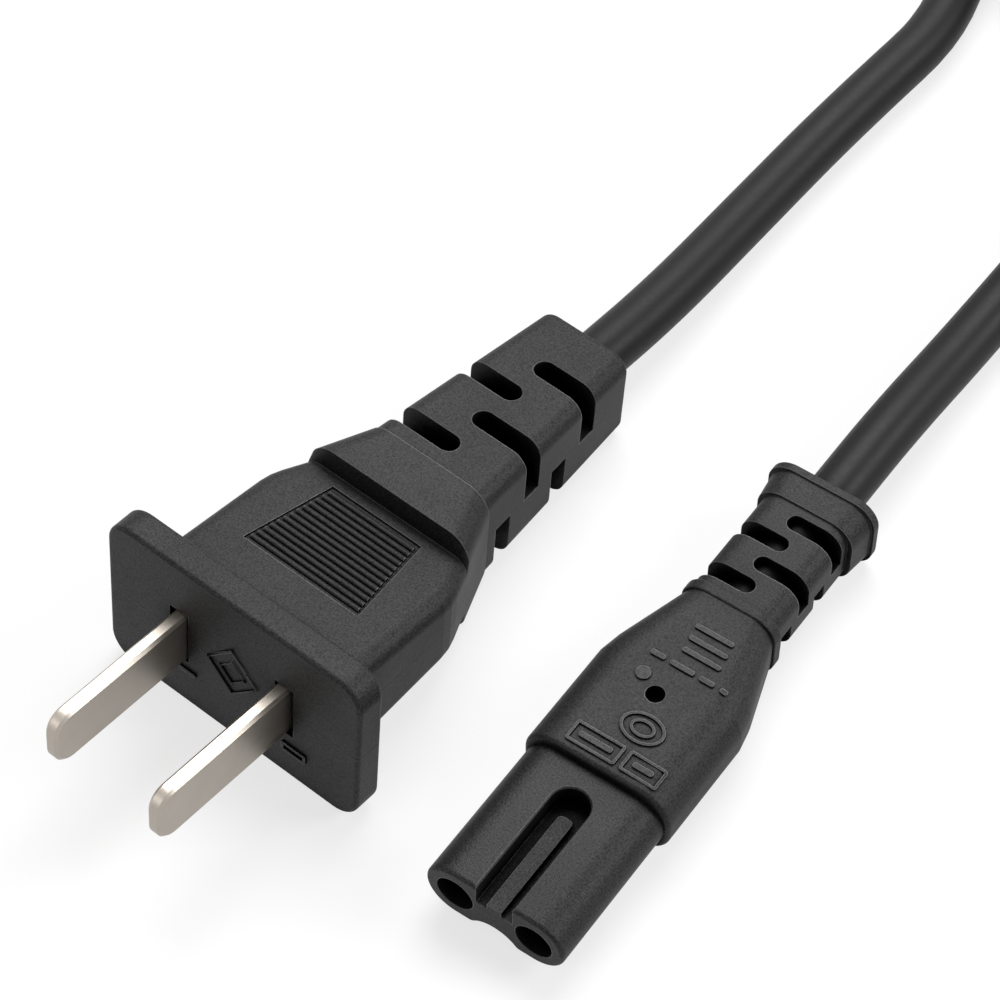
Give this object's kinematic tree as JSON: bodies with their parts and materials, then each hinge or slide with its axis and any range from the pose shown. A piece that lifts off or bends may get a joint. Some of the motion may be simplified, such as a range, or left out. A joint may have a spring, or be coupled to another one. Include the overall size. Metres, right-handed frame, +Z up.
{
  "type": "figure eight power connector",
  "caption": "Mains lead with a figure-eight appliance connector, a coiled round cord and a flat-blade plug, in soft black moulded plastic.",
  "frame": {"origin": "bottom centre of the connector's own box, on the surface the lead lies on", "axes": "+Y from the connector's mouth back to its cord, +Z up, +X to the right seen from behind the mouth"},
  "size_m": [0.0792, 0.2194, 0.0194],
  "materials": {
    "soft_pvc": "satin, finely textured",
    "nose_plastic": "satin",
    "cable_jacket": "smooth satin",
    "contact_brass": "bright",
    "blade_nickel": "brushed nickel plate",
    "carrier_plastic": "matt",
    "core_insulation": "smooth",
    "copper": "bare copper",
    "tie_strap": "matt"
  },
  "bodies": {
    "root": {"connector_nose": "nose_plastic", "connector_body": "soft_pvc", "plug_body": "soft_pvc", "contact_left": "contact_brass", "contact_right": "contact_brass", "blade_left": "blade_nickel", "blade_right": "blade_nickel", "plug_carrier": "carrier_plastic", "connector_core_left": "core_insulation", "connector_core_right": "core_insulation", "plug_core_left": "core_insulation", "plug_core_right": "core_insulation", "connector_wire_left": "copper", "connector_wire_right": "copper", "plug_wire_left": "copper", "plug_wire_right": "copper", "cord_connector_run": "cable_jacket", "cord_plug_run": "cable_jacket", "cord_coil": "cable_jacket", "coil_tie": "tie_strap"}
  },
  "joints": []
}
